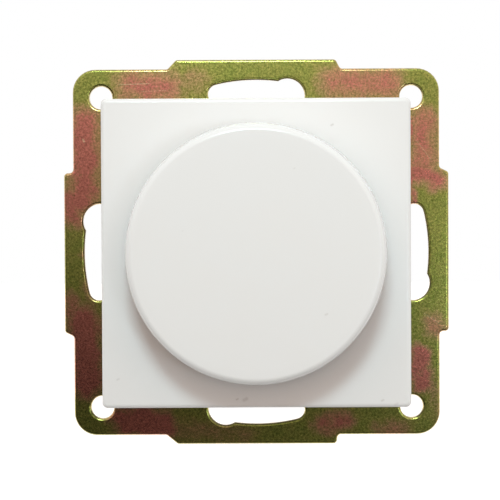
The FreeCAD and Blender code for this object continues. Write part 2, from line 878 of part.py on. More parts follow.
def choke_winding():
    """The turns round the core, each a flat loop in a radial plane, and the two ends."""
    back = board_front - winding_gap
    front = back - core_height - 2 * winding_wire
    outer = core_r + winding_wire
    inner = core_bore_r - winding_wire
    slack = running_clearance
    loops = []
    for i in range(winding_turns):
        loop = block(inner, outer, front, back, -winding_wire / 2, winding_wire / 2)
        gap = block(core_bore_r - slack, core_r + slack, front + winding_wire - slack,
                    back - winding_wire + slack, -1, 1)
        loop = loop.cut(gap)
        share = i / (winding_turns - 1) - 0.5
        loop.rotate(ORIGIN, Y, winding_sector_deg * share - 90)
        loop.translate(point(choke_x, 0, choke_z))
        loops.append(loop)
    for i, (x, z) in zip((0, -1), winding_ends()):
        end = block(x - winding_wire / 2, x + winding_wire / 2, back - winding_wire + slack, board_front,
                    z - winding_wire / 2, z + winding_wire / 2)
        loops[i] = loops[i].fuse(end)
    return Part.Compound(loops)


def trimmer_base():
    top = board_front - trimmer_height
    half = trimmer_side / 2
    shape = block(-half, half, top, board_front - standoff, -half, half)
    shape.translate(point(trimmer_x, 0, trimmer_z))
    shape = shape.makeChamfer(trimmer_chamfer, edges_at(shape, along_y))
    places = [(trimmer_x + i * trimmer_lead_pitch / 2, trimmer_z + j * trimmer_lead_pitch / 2)
              for i, j in ((-1, -1), (1, -1), (0, 1))]
    shape = shape.fuse([pin(x, z, board_front - 1) for x, z in places])
    bore_r = trimmer_rotor_r + running_clearance
    return shape.cut(rod(bore_r, top - 1, top + trimmer_rotor_depth, trimmer_x, trimmer_z))


def trimmer_rotor():
    top = board_front - trimmer_height
    front = top - trimmer_rotor_proud
    shape = rod(trimmer_rotor_r, front, top + trimmer_rotor_depth, trimmer_x, trimmer_z)
    slot = trimmer_slot / 2
    return shape.cut(block(trimmer_x - trimmer_rotor_r - 1, trimmer_x + trimmer_rotor_r + 1, front - 1,
                           front + trimmer_slot_depth, trimmer_z - slot, trimmer_z + slot))


def bar(r, x0, x1):
    """A round bar along X, on the fuse's axis."""
    return Part.makeCylinder(r, x1 - x0, point(fuse_x + x0, fuse_y, fuse_z), X)


def fuse_tube():
    half = fuse_length / 2 - fuse_cap_end
    return bar(fuse_glass_r, -half, half).cut(bar(fuse_glass_r - fuse_glass_wall, -half - 1, half + 1))


def fuse_caps():
    half = fuse_length / 2
    left = bar(fuse_cap_r, -half, fuse_cap_length - half)
    right = bar(fuse_cap_r, half - fuse_cap_length, half)
    hollow = bar(fuse_glass_r + fuse_fit, fuse_cap_end - half, half - fuse_cap_end)
    return Part.Compound([left.cut(hollow), right.cut(hollow)])


def fuse_wire():
    half = fuse_length / 2 - fuse_cap_end
    return bar(fuse_wire_r, -half, half)


def fuse_clips():
    """Two spring clips that grip the fuse's caps and stand on the board."""
    clips = []
    grip_r = fuse_cap_r + fuse_fit
    for side in (-1, 1):
        middle = side * (fuse_length / 2 - fuse_clip_width / 2 - fuse_clip_inset)
        x0 = middle - fuse_clip_width / 2
        x1 = middle + fuse_clip_width / 2
        ring = bar(fuse_clip_r, x0, x1)
        stem = block(fuse_x + x0, fuse_x + x1, fuse_y, board_front,
                     fuse_z - fuse_clip_stem / 2, fuse_z + fuse_clip_stem / 2)
        clip = ring.fuse(stem).cut(bar(grip_r, x0 - 1, x1 + 1))
        mouth = block(fuse_x + x0 - 1, fuse_x + x1 + 1, fuse_y - 2 * fuse_clip_r, fuse_y,
                      fuse_z - fuse_clip_mouth / 2, fuse_z + fuse_clip_mouth / 2)
        clips.append(clip.cut(mouth).removeSplitter())
    return Part.Compound(clips)


def triac_body_top():
    return triac_screw_z - triac_tab_below


def triac_body_foot():
    return triac_body_top() - triac_body_length


def triac_lead_z():
    return triac_body_foot() - triac_lead_reach


def triac_lead_xs():
    return [triac_x + i * triac_lead_pitch for i in (-1, 0, 1)]


def triac_tab():
    """The metal tab, bolted down, and three leads bent back into the board."""
    half = triac_width / 2
    top = triac_screw_z + triac_tab_above
    back = pad_thickness + triac_tab_thickness
    foot = triac_body_foot() + triac_tab_overlap
    tab = block(triac_x - half, triac_x + half, pad_thickness, back, foot, top)
    corners = edges_at(tab, lambda e: along_y(e) and e.BoundBox.ZMax > top - 1e-6)
    tab = tab.makeChamfer(triac_tab_chamfer, corners)
    tab = tab.cut(rod(m3_r + screw_clearance, -1, back + 1, triac_x, triac_screw_z))
    front = pad_thickness + triac_lead_height
    leads = []
    for x in triac_lead_xs():
        x0 = x - triac_lead_width / 2
        x1 = x + triac_lead_width / 2
        run = block(x0, x1, front, front + triac_lead_thickness, triac_lead_z(), foot + triac_tab_overlap)
        drop = block(x0, x1, front, board_front, triac_lead_z(), triac_lead_z() + triac_lead_thickness)
        leads.append(run.fuse(drop).removeSplitter())
    link = block(triac_x - triac_lead_width / 2, triac_x + triac_lead_width / 2, back, front,
                 foot, foot + triac_tab_overlap)
    leads[1] = leads[1].fuse([tab, link]).removeSplitter()
    return Part.Compound(leads)


def triac_case():
    half = triac_width / 2
    shape = block(triac_x - half, triac_x + half, pad_thickness, pad_thickness + triac_body_thickness,
                  triac_body_foot(), triac_body_top())
    rear = pad_thickness + triac_body_thickness
    shape = shape.makeChamfer(component_chamfer, edges_at(shape, lambda e: flat_at(e, rear)))
    return shape.cut(triac_tab())


def triac_pad():
    half = triac_width / 2 + pad_margin
    top = triac_screw_z + triac_tab_above + pad_margin
    foot = triac_body_foot() - pad_margin
    shape = rounded_block(2 * half, top - foot, 1.0, 0, pad_thickness, triac_x, (top + foot) / 2)
    return shape.cut(rod(m3_r + screw_clearance, -1, 1, triac_x, triac_screw_z))


def triac_screw():
    return pan_screw(m3_r, m3_head_r, m3_head, m3_length, triac_x, triac_screw_z, plate_front)


def triac_nut():
    front = pad_thickness + triac_tab_thickness
    nut = hexagon(m3_nut_flats, front, front + m3_nut, triac_x, triac_screw_z)
    return nut.cut(rod(m3_r + running_clearance, front - 1, front + m3_nut + 1, triac_x, triac_screw_z))


def rear_case():
    shape = rounded_block(case_side, case_side, case_corner_r, 0, case_end)
    shape = shape.makeChamfer(case_edge, edges_at(shape, lambda e: flat_at(e, case_end)))
    inside = 2 * case_inner_half
    hollow = rounded_block(inside, inside, case_inner_r, -1, case_floor)
    shape = shape.cut(hollow)
    middle = inside + case_wall
    limit = rounded_block(middle, middle, case_inner_r + case_wall / 2, 0, case_floor + case_back / 2)
    added = [rod(case_boss_r, 0, case_floor + case_back / 2, x, z).common(limit) for x, z in boss_places]
    end = case_floor + case_back / 2
    reach = case_inner_half - ledge_reach
    for x in (-ledge_x, ledge_x):
        added.append(block(x - ledge_width / 2, x + ledge_width / 2, board_back, end,
                           reach, case_inner_half + case_wall / 2))
    for side in (-1, 1):
        near = min(side * reach, side * (case_inner_half + case_wall / 2))
        far = max(side * reach, side * (case_inner_half + case_wall / 2))
        added.append(block(near, far, board_back, end, ledge_z - ledge_width / 2, ledge_z + ledge_width / 2))
    for left, right in zip(terminal_xs, terminal_xs[1:]):
        x = (left + right) / 2
        added.append(block(x - partition / 2, x + partition / 2, board_back, end,
                           -case_inner_half - case_wall / 2, terminal_z + cage_length / 2 + partition_margin))
    shape = shape.fuse(added)
    cuts = [rod(tapping_r + running_clearance, -1, tapping_length, x, z) for x, z in boss_places]
    wire_y = board_back + cage_floor + (cage_height - cage_floor - cage_roof) / 2
    for x in terminal_xs:
        cuts.append(rod(terminal_access_r, case_floor - 0.5, case_end + 1, x, terminal_z))
        entry = point(x, wire_y, -case_half - case_wall)
        cuts.append(Part.makeCylinder(wire_entry_r, 3 * case_wall, entry, Z))
    for i in range(vent_count):
        x = (i - (vent_count - 1) / 2) * vent_pitch
        cuts.append(block(x - vent_width / 2, x + vent_width / 2, vent_start, vent_start + vent_length,
                          case_inner_half - 0.5, case_half + 1))
    return shape.cut(cuts).removeSplitter()


def case_screws():
    screws = []
    for x, z in boss_places:
        screws.append(pan_screw(tapping_r, tapping_head_r, tapping_head, tapping_length, x, z, plate_front))
    return Part.Compound(screws)


def terminal_cages():
    """Brass cages that stand on the board, each with a window for the wire and a tapped roof."""
    cages = []
    half = cage_width / 2
    for x in terminal_xs:
        z0 = terminal_z - cage_length / 2
        z1 = terminal_z + cage_length / 2
        cage = block(x - half, x + half, board_back, cage_back, z0, z1)
        window = block(x - half + cage_wall, x + half - cage_wall, board_back + cage_floor,
                       cage_back - cage_roof, z0 - 1, z1 + 1)
        cage = cage.cut(window)
        cage = cage.cut(rod(terminal_screw_r + running_clearance, cage_back - cage_roof - 0.5, cage_back + 1,
                            x, terminal_z))
        cages.append(cage)
    return Part.Compound(cages)


def terminal_screws():
    screws = []
    for x in terminal_xs:
        screw = turned([
            (0, cage_back - terminal_screw_length), (terminal_screw_r, cage_back - terminal_screw_length),
            (terminal_screw_r, cage_back), (terminal_head_r, cage_back),
            (terminal_head_r, terminal_head_back), (0, terminal_head_back),
        ])
        slot = block(-terminal_head_r - 1, terminal_head_r + 1, terminal_head_back - terminal_slot_depth,
                     terminal_head_back + 1, -terminal_slot / 2, terminal_slot / 2)
        screw = screw.cut(slot)
        screw.translate(point(x, 0, terminal_z))
        screws.append(screw)
    return Part.Compound(screws)


pieces = (
    support_plate, centre_plate, knob, knob_clip, shaft, shaft_ring, pot_bush, bush_nuts, lock_washer,
    pot_case, wiper_rotor, wiper_contact, resistor_track, pot_tags, switch_case, switch_plunger,
    switch_bridge, switch_spring, switch_tags, circuit_board, film_capacitor, timing_capacitor, resistors,
    diac, choke_core, choke_winding, trimmer_base, trimmer_rotor, fuse_tube, fuse_caps, fuse_wire,
    fuse_clips, triac_tab, triac_case, triac_pad, triac_screw, triac_nut, rear_case, case_screws,
    terminal_cages, terminal_screws,
)

os.makedirs("parts", exist_ok=True)
for piece in pieces:
    shape = piece()
    shape.exportStep("parts/" + piece.__name__ + ".step")
    valid = shape.isValid()
    print(f"{piece.__name__:18} solids {len(shape.Solids)} volume {shape.Volume:9.2f} valid {valid}")
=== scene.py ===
import json
import math

import bpy
import numpy as np
from mathutils import Matrix, Vector
from mathutils.geometry import tessellate_polygon


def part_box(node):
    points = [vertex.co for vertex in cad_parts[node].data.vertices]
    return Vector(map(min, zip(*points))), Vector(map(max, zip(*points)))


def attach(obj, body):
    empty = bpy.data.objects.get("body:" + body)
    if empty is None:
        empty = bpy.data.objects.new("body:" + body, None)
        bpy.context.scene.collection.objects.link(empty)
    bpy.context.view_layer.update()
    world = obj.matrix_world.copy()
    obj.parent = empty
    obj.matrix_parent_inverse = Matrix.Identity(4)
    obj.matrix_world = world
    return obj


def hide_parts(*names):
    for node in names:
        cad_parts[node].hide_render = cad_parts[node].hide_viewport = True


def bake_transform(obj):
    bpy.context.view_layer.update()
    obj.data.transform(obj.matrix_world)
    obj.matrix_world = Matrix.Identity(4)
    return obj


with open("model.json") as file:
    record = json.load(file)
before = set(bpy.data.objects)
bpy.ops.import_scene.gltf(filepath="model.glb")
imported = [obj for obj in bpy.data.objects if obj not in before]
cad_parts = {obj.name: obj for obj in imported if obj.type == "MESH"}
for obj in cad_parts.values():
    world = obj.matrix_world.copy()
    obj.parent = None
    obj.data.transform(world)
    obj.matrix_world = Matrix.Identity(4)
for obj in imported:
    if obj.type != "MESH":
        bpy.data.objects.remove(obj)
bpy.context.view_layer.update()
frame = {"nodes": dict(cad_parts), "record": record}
mm = 0.001
scene = bpy.context.scene
print("frame loaded:", len(frame["nodes"]), "nodes")


# Node helpers

def addNode(tree, kind, inputs=None, **settings):
    made = tree.nodes.new(kind)
    for name, value in settings.items():
        setattr(made, name, value)
    for key, value in (inputs or {}).items():
        if isinstance(value, bpy.types.NodeSocket):
            tree.links.new(value, made.inputs[key])
        else:
            made.inputs[key].default_value = value
    return made


def calc(tree, operation, a, b=0.0, c=0.0):
    return addNode(tree, "ShaderNodeMath", {0: a, 1: b, 2: c}, operation=operation).outputs[0]


def vectorCalc(tree, operation, a, b=(0.0, 0.0, 0.0)):
    made = addNode(tree, "ShaderNodeVectorMath", {0: a, 1: b}, operation=operation)
    return made.outputs["Value" if operation in ("DOT_PRODUCT", "LENGTH", "DISTANCE") else "Vector"]


def scaled(tree, vector, factor):
    return addNode(tree, "ShaderNodeVectorMath", {0: vector, 3: factor}, operation="SCALE").outputs[0]


def blendColour(tree, share, a, b, mode="MIX"):
    made = addNode(tree, "ShaderNodeMix", data_type="RGBA", blend_type=mode)
    for socket, value in ((made.inputs[0], share), (made.inputs[6], a), (made.inputs[7], b)):
        if isinstance(value, bpy.types.NodeSocket):
            tree.links.new(value, socket)
        else:
            socket.default_value = value if isinstance(value, float) else (*value[:3], 1.0)
    return made.outputs[2]


# A smooth step of value from 0 at low to 1 at high
def fade(tree, value, low, high):
    return addNode(tree, "ShaderNodeMapRange", {0: value, 1: low, 2: high, 3: 0.0, 4: 1.0},
                   interpolation_type="SMOOTHSTEP").outputs[0]


def noise(tree, vector, scale, detail=2.0, roughness=0.5):
    return addNode(tree, "ShaderNodeTexNoise", {"Vector": vector, "Scale": scale, "Detail": detail,
                                                "Roughness": roughness}).outputs[0]


def colourRamp(tree, value, stops):
    made = addNode(tree, "ShaderNodeValToRGB", {0: value})
    ramp = made.color_ramp
    while len(ramp.elements) < len(stops):
        ramp.elements.new(0.5)
    for element, (place, colour) in zip(ramp.elements, stops):
        element.position = place
        element.color = (*colour, 1.0)
    return made.outputs[0]


# A new shader node group: its tree, what it is given and what it puts out
def startGroup(name, inputs, outputs):
    tree = bpy.data.node_groups.new(name, "ShaderNodeTree")
    for label, value in inputs.items():
        kind = "NodeSocketFloat" if isinstance(value, float) else "NodeSocketVector"
        socket = tree.interface.new_socket(label, in_out="INPUT", socket_type=kind)
        if value is not None:
            socket.default_value = value
    for label in outputs:
        tree.interface.new_socket(label, in_out="OUTPUT", socket_type="NodeSocketFloat")
    return tree, tree.nodes.new("NodeGroupInput").outputs, tree.nodes.new("NodeGroupOutput").inputs


def useGroup(tree, group, **inputs):
    made = tree.nodes.new("ShaderNodeGroup")
    made.node_tree = group
    for key, value in inputs.items():
        if isinstance(value, bpy.types.NodeSocket):
            tree.links.new(value, made.inputs[key])
        else:
            made.inputs[key].default_value = value
    return made.outputs


# An empty material with its Principled surface, and the object's own coordinates in millimetres
def startMaterial(name, **surface):
    material = bpy.data.materials.new(name)
    material.use_nodes = True
    tree = material.node_tree
    shader = tree.nodes["Principled BSDF"]
    for label, value in surface.items():
        shader.inputs[label.replace("_", " ")].default_value = value
    place = scaled(tree, addNode(tree, "ShaderNodeTexCoord").outputs["Object"], 1.0 / mm)
    return material, tree, shader, place


def setBump(tree, shader, height, strength, depth):
    bump = addNode(tree, "ShaderNodeBump", {"Strength": strength, "Distance": depth * mm, "Height": height})
    tree.links.new(bump.outputs[0], shader.inputs["Normal"])


# Roughness that swings about its mean with a height from 0 to 1
def setRoughness(tree, shader, height, mean, swing):
    tree.links.new(calc(tree, "MULTIPLY_ADD", height, swing, mean - swing / 2), shader.inputs["Roughness"])


# Fine grain: a factor round 1 for brightness, and a height
def makeGrain():
    tree, given, out = startGroup("fineGrain", {"Place": None, "Scale": 3.0, "Amount": 0.1},
                                  ["Factor", "Height"])
    value = noise(tree, given["Place"], given["Scale"], detail=3.0, roughness=0.65)
    swing = calc(tree, "SUBTRACT", value, 0.5)
    tree.links.new(calc(tree, "MULTIPLY_ADD", swing, given["Amount"], 1.0), out[0])
    tree.links.new(value, out[1])
    return tree


# A soft stain along a line from start to end: its strength in the middle, fading smoothly to 0 at its radius
def makeStain():
    tree, given, out = startGroup("softStain", {"Place": None, "Start": None, "End": None, "Radius": 3.0,
                                                "Strength": 1.0}, ["Mask"])
    fromStart = vectorCalc(tree, "SUBTRACT", given["Place"], given["Start"])
    line = vectorCalc(tree, "SUBTRACT", given["End"], given["Start"])
    share = calc(tree, "DIVIDE", vectorCalc(tree, "DOT_PRODUCT", fromStart, line),
                 calc(tree, "MAXIMUM", vectorCalc(tree, "DOT_PRODUCT", line, line), 1e-6))
    share = calc(tree, "MINIMUM", calc(tree, "MAXIMUM", share, 0.0), 1.0)
    gap = vectorCalc(tree, "LENGTH", vectorCalc(tree, "SUBTRACT", fromStart, scaled(tree, line, share)))
    mask = fade(tree, calc(tree, "DIVIDE", gap, given["Radius"]), low=1.0, high=0.0)
    tree.links.new(calc(tree, "MULTIPLY", mask, given["Strength"]), out[0])
    return tree


grain = makeGrain()
stain = makeStain()


# The strongest of several stains, each (start, end, radius, strength), and of a value that is there already
def strongestStain(tree, place, rows, strongest=0.0):
    for start, end, radius, strength in rows:
        mask = useGroup(tree, stain, Place=place, Start=start, End=end, Radius=radius, Strength=strength)
        strongest = calc(tree, "MAXIMUM", mask["Mask"], strongest)
    return strongest


# Mesh helpers. Lengths are in millimetres until finishMesh, and depths run along Y, from front to back.

# A piece from one or more closed surfaces, each (points in millimetres, quads, triangles), turned to enclose
# a positive volume. It rides on its body where one is given; the return spring is given none.
def finishMesh(name, surfaces, material, body, sharp=32):
    points, quads, triangles, start = [], [], [], 0
    for surfacePoints, surfaceQuads, surfaceTriangles in surfaces:
        surfacePoints = np.asarray(surfacePoints, float).reshape(-1, 3)
        surfaceQuads = np.asarray(surfaceQuads, int).reshape(-1, 4)
        surfaceTriangles = np.asarray(surfaceTriangles, int).reshape(-1, 3)
        corners = np.concatenate([surfaceQuads[:, [0, 1, 2]], surfaceQuads[:, [0, 2, 3]], surfaceTriangles])
        a, b, c = (surfacePoints[corners[:, i]] for i in range(3))
        if (a * np.cross(b, c)).sum() < 0:
            surfaceQuads, surfaceTriangles = surfaceQuads[:, ::-1], surfaceTriangles[:, ::-1]
        points.append(surfacePoints)
        quads.append(surfaceQuads + start)
        triangles.append(surfaceTriangles + start)
        start += len(surfacePoints)
    points, quads, triangles = (np.concatenate(part) for part in (points, quads, triangles))
    used = np.unique(np.concatenate([quads.ravel(), triangles.ravel()]))
    newIndex = np.zeros(len(points), int)
    newIndex[used] = np.arange(len(used))
    mesh = bpy.data.meshes.new(name)
    faces = newIndex[quads].tolist() + newIndex[triangles].tolist()
    mesh.from_pydata((points[used] * mm).tolist(), [], faces)
    mesh.polygons.foreach_set("use_smooth", np.ones(len(mesh.polygons), bool))
    mesh.set_sharp_from_angle(angle=math.radians(sharp))
    mesh.materials.append(material)
    piece = bpy.data.objects.new(name, mesh)
    scene.collection.objects.link(piece)
    if body:
        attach(piece, body)
    return piece


# Quads between neighbouring rings of points, and between the last ring and the first where closed
def ringQuads(rows, columns, closed=True):
    index = np.arange(rows * columns).reshape(rows, columns)
    ahead = np.roll(index, -1, 1)
    quads = np.stack([index, ahead, np.roll(ahead, -1, 0), np.roll(index, -1, 0)], -1)
    return (quads if closed else quads[:-1]).reshape(-1, 4)


# A loop of (x, z) points at one depth y
def atDepth(loop, y):
    return np.stack([loop[:, 0], np.full(len(loop), float(y)), loop[:, 1]], -1)


# A solid of revolution: each (radius, y) of the outline goes round a line along Y at x, and its ends on that
# line become points
def turnedSurface(outline, steps, x=0.0):
    outline = np.asarray(outline, float)
    turns = np.linspace(0, 2 * np.pi, steps, endpoint=False)
    r, y = outline[:, :1], outline[:, 1:]
    points = np.stack([x + r * np.cos(turns), y + 0 * turns, r * np.sin(turns)], -1)
    index = np.arange(len(outline) * steps).reshape(len(outline), steps)
    onAxis = outline[:, 0] == 0
    index[onAxis] = index[onAxis][:, :1]
    ahead = np.roll(index, -1, 1)
    quads = np.stack([index, ahead, np.roll(ahead, -1, 0), np.roll(index, -1, 0)], -1)
    quads = (quads[:-1] if onAxis[0] and onAxis[-1] else quads).reshape(-1, 4)
    startsAtPoint, endsAtPoint = quads[:, 0] == quads[:, 1], quads[:, 2] == quads[:, 3]
    triangles = np.concatenate([quads[startsAtPoint][:, [0, 2, 3]], quads[endsAtPoint][:, [0, 1, 2]]])
    return points.reshape(-1, 3), quads[~startsAtPoint & ~endsAtPoint], triangles


# A block from its low and high corners, turned about the Y axis
def blockSurface(low, high, turn=0.0):
    pick = np.array([[i >> 2 & 1, i >> 1 & 1, i & 1] for i in range(8)])
    corners = np.where(pick == 1, high, low).astype(float)
    c, s = math.cos(turn), math.sin(turn)
    corners = corners @ np.array([[c, 0, s], [0, 1, 0], [-s, 0, c]])
    quads = [(0, 1, 3, 2), (4, 6, 7, 5), (0, 4, 5, 1), (2, 3, 7, 6), (0, 2, 6, 4), (1, 5, 7, 3)]
    return corners, quads, []


# Points of a quarter round of radius r: sideways run and depth, from the face to the wall
def quarterRound(r, steps):
    t = np.linspace(0, np.pi / 2, steps)
    return np.stack([r * (1 - np.sin(t)), r * (1 - np.cos(t))], -1)


# A clockwise outline whose corners become arcs. Inset moves it inwards: an outward corner's arc shrinks by
# it, an inward corner's arc grows by it, and both keep their centres.
def roundedPath(corners, radii, inset=0.0, arcSteps=10):
    corners, radii = np.asarray(corners, float), np.asarray(radii, float)[:, None]
    ahead = np.roll(corners, -1, 0) - corners
    ahead /= np.linalg.norm(ahead, axis=1, keepdims=True)
    before = np.roll(ahead, 1, 0)
    turn = np.arctan2(before[:, 0] * ahead[:, 1] - before[:, 1] * ahead[:, 0], (before * ahead).sum(1))
    outward = -np.sign(turn)[:, None]
    inBefore, inAhead = (np.stack([d[:, 1], -d[:, 0]], -1) for d in (before, ahead))
    centres = corners + outward * radii * (inBefore + inAhead) / (1 + (inBefore * inAhead).sum(1))[:, None]
    angle = turn[:, None] * np.linspace(0, 1, arcSteps)
    c, s = np.cos(angle), np.sin(angle)
    x, z = inBefore[:, :1], inBefore[:, 1:]
    inwards = np.stack([x * c - z * s, x * s + z * c], -1)
    reach = (outward * (radii - outward * inset))[:, :, None]
    return (centres[:, None] - reach * inwards).reshape(-1, 2)


# A rounded square, with points along its sides too, so that it can be joined to a circle
def squareLoop(half, corner, arcSteps=14, sideSteps=26):
    turn = np.linspace(0, np.pi / 2, arcSteps)
    arc = half - corner + corner * np.stack([np.cos(turn), np.sin(turn)], -1)
    run = np.linspace(half - corner, corner - half, sideSteps + 2)[1:-1]
    quarter = np.concatenate([arc, np.stack([run, np.full_like(run, half)], -1)])
    quarterTurn = np.array([[0, 1], [-1, 0]])
    return np.concatenate([quarter @ np.linalg.matrix_power(quarterTurn, i) for i in range(4)])


# The angles of the centre plate's outline points, so that each circle's points lie opposite them
squareTurns = np.arctan2(*squareLoop(half=27.5, corner=1.0).T[::-1])


# A circle of radius r with its points at those angles
def roundLoop(r):
    return r * np.stack([np.cos(squareTurns), np.sin(squareTurns)], -1)


# White moulding

gloss = {
    "colour": (0.868, 0.88, 0.88), "warm": (0.868, 0.87, 0.86), "cloudScale": 0.12,
    "roughness": 0.2, "roughSwing": 0.06, "grainScale": 1.1, "bump": 0.05, "bumpDepth": 0.02,
    # Specks of dirt on the knob's face and the centre plate: (x, y, z), radius and strength
    "specks": [
        ((11.8, -23.9, -10.3), 0.3, 0.22), ((22.2, -12.2, -26.3), 0.3, 0.25),
        ((-2.3, -12.2, -26.1), 0.5, 0.25), ((-3.6, -12.2, -26.0), 0.25, 0.3),
        ((13.4, -12.2, 22.6), 0.3, 0.3), ((-24.8, -12.2, -22.4), 0.3, 0.18),
        ((24.6, -12.2, -27.0), 0.4, 0.15), ((6.5, -23.9, 14.5), 0.2, 0.15),
        ((-12.5, -23.9, 4.0), 0.18, 0.12),
    ],
    "speckColour": (0.33, 0.29, 0.25),
}


def makeGloss(colour, warm, cloudScale, roughness, roughSwing, grainScale, bump, bumpDepth, specks,
              speckColour):
    material, tree, shader, place = startMaterial("whiteGloss", IOR=1.5)
    clouded = blendColour(tree, noise(tree, place, cloudScale), colour, warm)
    # Each speck is drawn out sideways by its radius and upwards by half of it
    rows = [((x, y, z), (x + radius, y, z + radius / 2), radius, strength)
            for (x, y, z), radius, strength in specks]
    dirt = strongestStain(tree, place, rows)
    tree.links.new(blendColour(tree, dirt, clouded, speckColour), shader.inputs["Base Color"])
    speck = useGroup(tree, grain, Place=place, Scale=grainScale)
    setRoughness(tree, shader, speck["Height"], roughness, roughSwing)
    setBump(tree, shader, speck["Height"], bump, bumpDepth)
    return material


glossMaterial = makeGloss(**gloss)


# How far a rib reaches into the wall that it starts from, and into the face before it, in millimetres
ribSink, ribRoot = 0.5, 1.0


# Knob: a turned shell with a faint crown, a round edge, a tapered side, and a hub with six ribs inside

knobShape = {
    "topRadius": 22.1, "rear": -14.0, "edge": 1.2, "crown": 0.08, "rim": 0.3, "wall": 2.0, "face": 2.2,
    "hub": 5.4, "bore": 3.05, "ribs": 6, "ribWidth": 1.2, "ribDepth": 4.5,
    "crownSteps": 14, "edgeSteps": 16, "rimSteps": 5, "turnSteps": 192,
}


def makeKnob(topRadius, rear, edge, crown, rim, wall, face, hub, bore, ribs, ribWidth, ribDepth,
             crownSteps, edgeSteps, rimSteps, turnSteps):
    low, high = (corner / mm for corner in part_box("knob"))
    front, hubRear, base = low.y, high.y, high.x
    slope = (base - topRadius) / (rear - front)
    lean = math.atan(slope)
    flat = topRadius - edge * math.tan((math.pi / 2 - lean) / 2) + slope * edge * 0.5
    r = flat * np.linspace(0, 1, crownSteps)
    crownLine = np.stack([r, front + crown * (r / flat) ** 2], -1)
    t = np.linspace(0, math.pi / 2 - lean, edgeSteps)[1:]
    # The edge's arc starts on the crown and ends on the tapered side
    edgeLine = np.stack([flat + edge * np.sin(t), front + crown + edge * (1 - np.cos(t))], -1)
    sideFoot = np.array([[base - slope * rim, rear - rim]])
    t = np.linspace(0, math.pi / 2, rimSteps)[1:]
    rimLine = np.stack([base - slope * rim - rim * (1 - np.cos(t)), rear - rim * (1 - np.sin(t))], -1)
    inside = front + face
    inner = [(base - wall, rear), (topRadius - wall + slope * face, inside), (hub, inside), (hub, hubRear),
             (bore, hubRear), (bore, inside), (0, inside)]
    outline = np.concatenate([crownLine, edgeLine, sideFoot, rimLine, inner])
    surfaces = [turnedSurface(outline, turnSteps)]
    for i in range(ribs):
        ribLow = (hub - ribSink, inside - ribRoot, -ribWidth / 2)
        ribHigh = (topRadius - wall / 2, inside + ribDepth, ribWidth / 2)
        surfaces.append(blockSurface(ribLow, ribHigh, 2 * math.pi * i / ribs))
    piece = finishMesh("knobMoulding", surfaces, glossMaterial, "knob_and_shaft")
    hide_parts("knob")


makeKnob(**knobShape)
print("knob made")


# Centre plate: one closed surface from the skirt's rim over the face, down the well and back along the inside

coverShape = {
    "corner": 1.0, "edge": 0.7, "bevel": 0.15, "flatStep": 0.1, "wall": 1.8, "innerCorner": 0.3, "face": 2.0,
    "skirt": 8.0, "well": 13.0, "wellWall": 1.5, "lip": 0.4, "wellFloorFront": -7.3, "wellFloorBack": -5.3,
    "bushHole": 5.2, "tubeInner": 8.58, "tubeOuter": 10.58, "rib": 1.2, "ribDepth": 5.0,
    "nib": 0.8, "nibPlace": 9.58, "nibLength": 0.9, "nibRoot": 1.0, "nibTip": 0.2,
    "edgeSteps": 9, "lipSteps": 6, "nibSteps": 32,
}


def makeCover(corner, edge, bevel, flatStep, wall, innerCorner, face, skirt, well, wellWall, lip,
              wellFloorFront, wellFloorBack, bushHole, tubeInner, tubeOuter, rib, ribDepth,
              nib, nibPlace, nibLength, nibRoot, nibTip, edgeSteps, lipSteps, nibSteps):
    low, high = (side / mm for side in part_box("centre_plate"))
    half, front = high.x, low.y
    rim, seat, inside = front + skirt, high.y - nibLength, front + face
    loops = [atDepth(squareLoop(half - bevel, corner - bevel), rim)]
    loops.append(atDepth(squareLoop(half, corner), rim - bevel))
    for run, depth in quarterRound(edge, edgeSteps)[::-1]:
        loops.append(atDepth(squareLoop(half - run, corner - run), front + depth))
    loops.append(atDepth(squareLoop(half - edge - flatStep, corner - edge), front))
    loops.append(atDepth(roundLoop(well + lip + flatStep), front))
    for run, depth in quarterRound(lip, lipSteps):
        loops.append(atDepth(roundLoop(well + run), front + depth))
    outerWell = well + wellWall
    for r, y in ((well, wellFloorFront), (bushHole, wellFloorFront), (bushHole, wellFloorBack),
                 (tubeInner, wellFloorBack), (tubeInner, seat), (tubeOuter, seat), (tubeOuter, wellFloorBack),
                 (outerWell, wellFloorBack), (outerWell, inside)):
        loops.append(atDepth(roundLoop(r), y))
    loops.append(atDepth(squareLoop(half - wall, innerCorner), inside))
    loops.append(atDepth(squareLoop(half - wall, innerCorner), rim))
    surfaces = [(np.concatenate(loops), ringQuads(len(loops), len(loops[0])), [])]
    reach = (half - wall) * math.sqrt(2) - rib / 2
    ribLow, ribHigh = (outerWell - ribSink, inside - ribRoot, -rib / 2), (reach, inside + ribDepth, rib / 2)
    for i in range(4):
        surfaces.append(blockSurface(ribLow, ribHigh, math.pi / 4 + i * math.pi / 2))
    tip = seat + nibLength
    for side in (-1, 1):
        outline = [(0, seat - nibRoot), (nib, seat - nibRoot), (nib, tip - nibTip), (nib - nibTip, tip),
                   (0, tip)]
        surfaces.append(turnedSurface(outline, nibSteps, side * nibPlace))
    piece = finishMesh("coverMoulding", surfaces, glossMaterial, "insert")
    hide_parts("centre_plate")


makeCover(**coverShape)
print("centre plate made")


# Support plate: chromated steel, punched from the front, so that its front edges are rolled over

